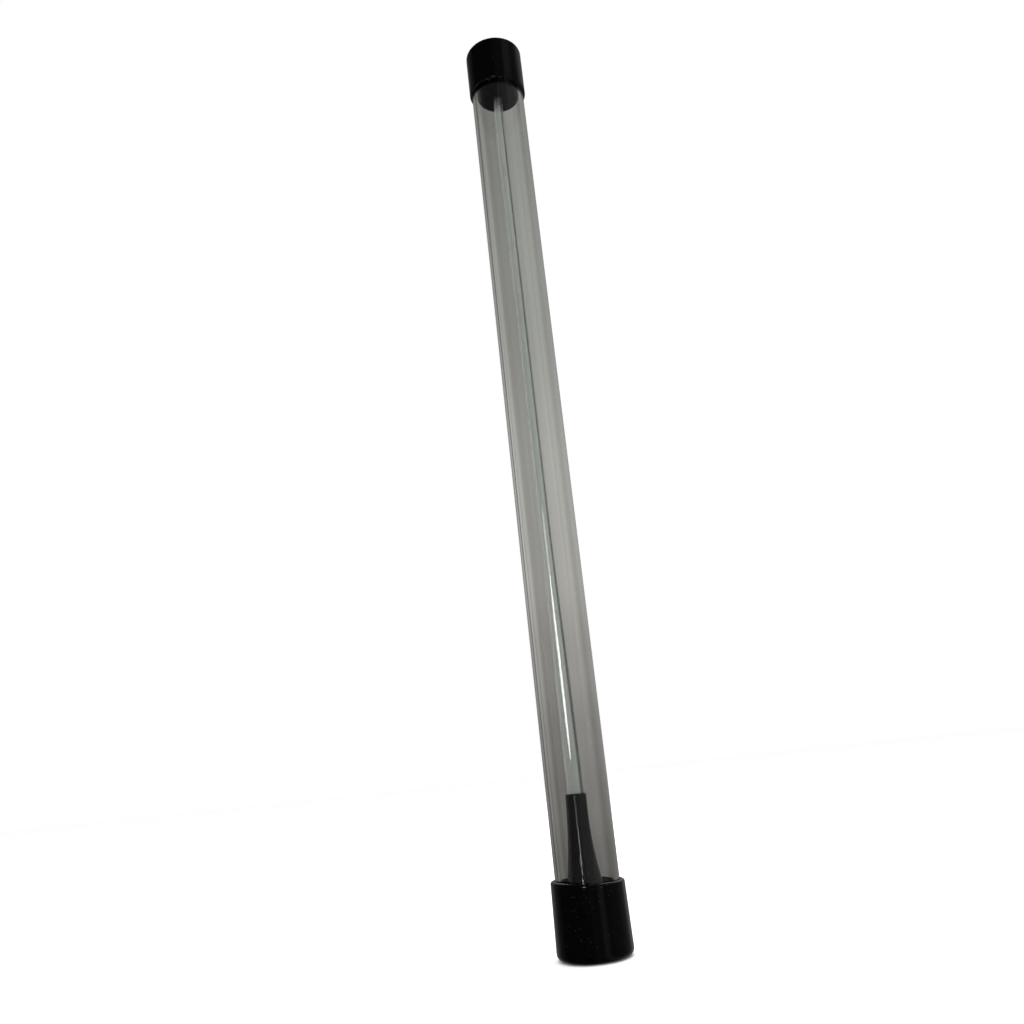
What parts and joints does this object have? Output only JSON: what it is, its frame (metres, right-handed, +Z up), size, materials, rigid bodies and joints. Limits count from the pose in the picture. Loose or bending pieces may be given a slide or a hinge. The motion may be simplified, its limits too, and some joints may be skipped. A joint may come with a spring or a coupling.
{
  "type": "manual rain gauge",
  "caption": "Long clear tube rain gauge with slip-on black end caps and a slender measuring tube standing in a tapered boot on its axis.",
  "frame": {"origin": "centre of the bottom cap's underside", "axes": "+Z up along the tube's axis; the gauge is round, so +X and +Y are free"},
  "size_m": [0.0356, 0.0356, 0.496],
  "materials": {
    "cap_vinyl": "glossy black vinyl",
    "boot_vinyl": "glossy black vinyl",
    "seal_rubber": "matt black rubber",
    "clear_acrylic": "clear polished acrylic, faintly smoky",
    "measuring_glass": "clear glass with a green tint",
    "funnel_plastic": "satin black moulded plastic",
    "liner_foam": "closed-cell foam"
  },
  "bodies": {
    "base": {"bottom_cap": "cap_vinyl", "tube_boot": "boot_vinyl", "base_gasket": "seal_rubber", "boot_o_ring": "seal_rubber", "foot_cushion": "seal_rubber"},
    "tube": {"outer_tube": "clear_acrylic"},
    "measure": {"measuring_tube": "measuring_glass"},
    "funnel": {"collector_funnel": "funnel_plastic"},
    "cap": {"top_cap": "cap_vinyl", "cap_liner": "liner_foam"}
  },
  "joints": [
    {"name": "outer_tube_lift", "type": "slide", "parent": "base", "child": "tube", "axis": [0, 0, 1], "range_m": [0, 0.07]},
    {"name": "measuring_tube_lift", "type": "slide", "parent": "tube", "child": "measure", "axis": [0, 0, 1], "range_m": [0, 0.482]},
    {"name": "funnel_lift", "type": "slide", "parent": "measure", "child": "funnel", "axis": [0, 0, 1], "range_m": [0, 0.03]},
    {"name": "top_cap_lift", "type": "slide", "parent": "funnel", "child": "cap", "axis": [0, 0, 1], "range_m": [0, 0.035]}
  ]
}
